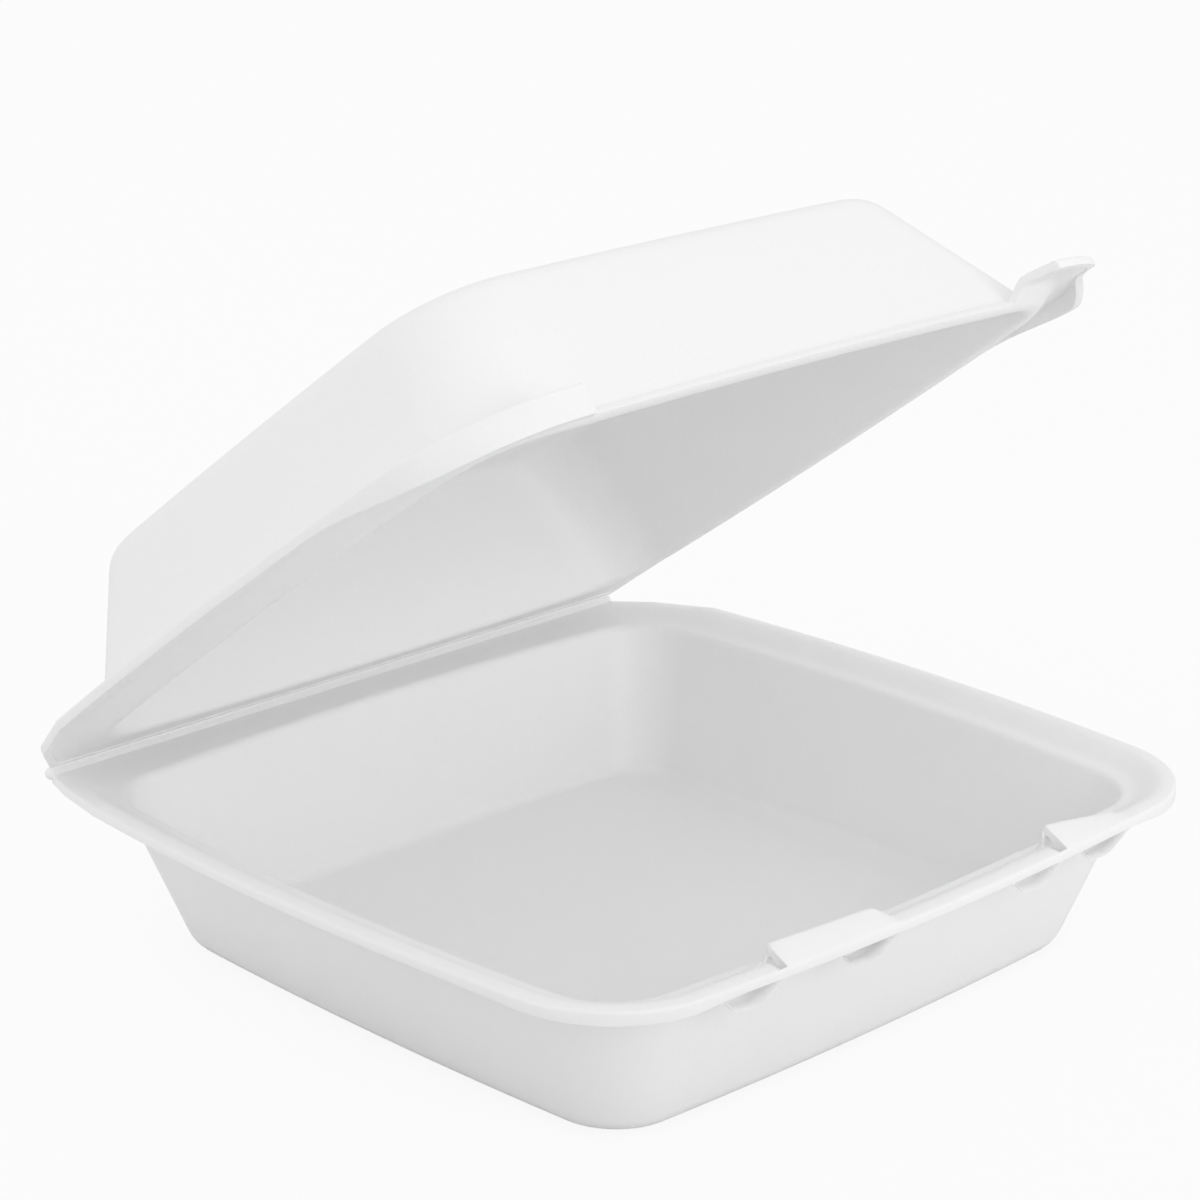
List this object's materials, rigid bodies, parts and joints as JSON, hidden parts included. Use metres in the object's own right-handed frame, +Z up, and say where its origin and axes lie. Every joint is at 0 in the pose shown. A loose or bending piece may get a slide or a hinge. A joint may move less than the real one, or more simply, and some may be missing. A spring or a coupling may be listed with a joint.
{
  "type": "foam clamshell container",
  "caption": "Square hinged foam food container with a single deep tray and a domed lid that folds over it and hooks onto latches at the front.",
  "frame": {"origin": "middle of the tray's flat underside", "axes": "+Z up; -Y to the front, with the latches; +Y to the hinge fold; +X to the right seen from the front"},
  "size_m": [0.2412, 0.231, 0.1908],
  "materials": {
    "white_foam": "satin skin of extruded polystyrene foam, faintly pebbled"
  },
  "bodies": {
    "tray": {"base_tray": "white_foam"},
    "cover": {"lid": "white_foam"}
  },
  "joints": [
    {"name": "lid_hinge", "type": "hinge", "parent": "tray", "child": "cover", "pos_m": [0, 0.1105, 0.042], "axis": [-1, 0, 0], "range_deg": [-36.7, 143.3]}
  ]
}
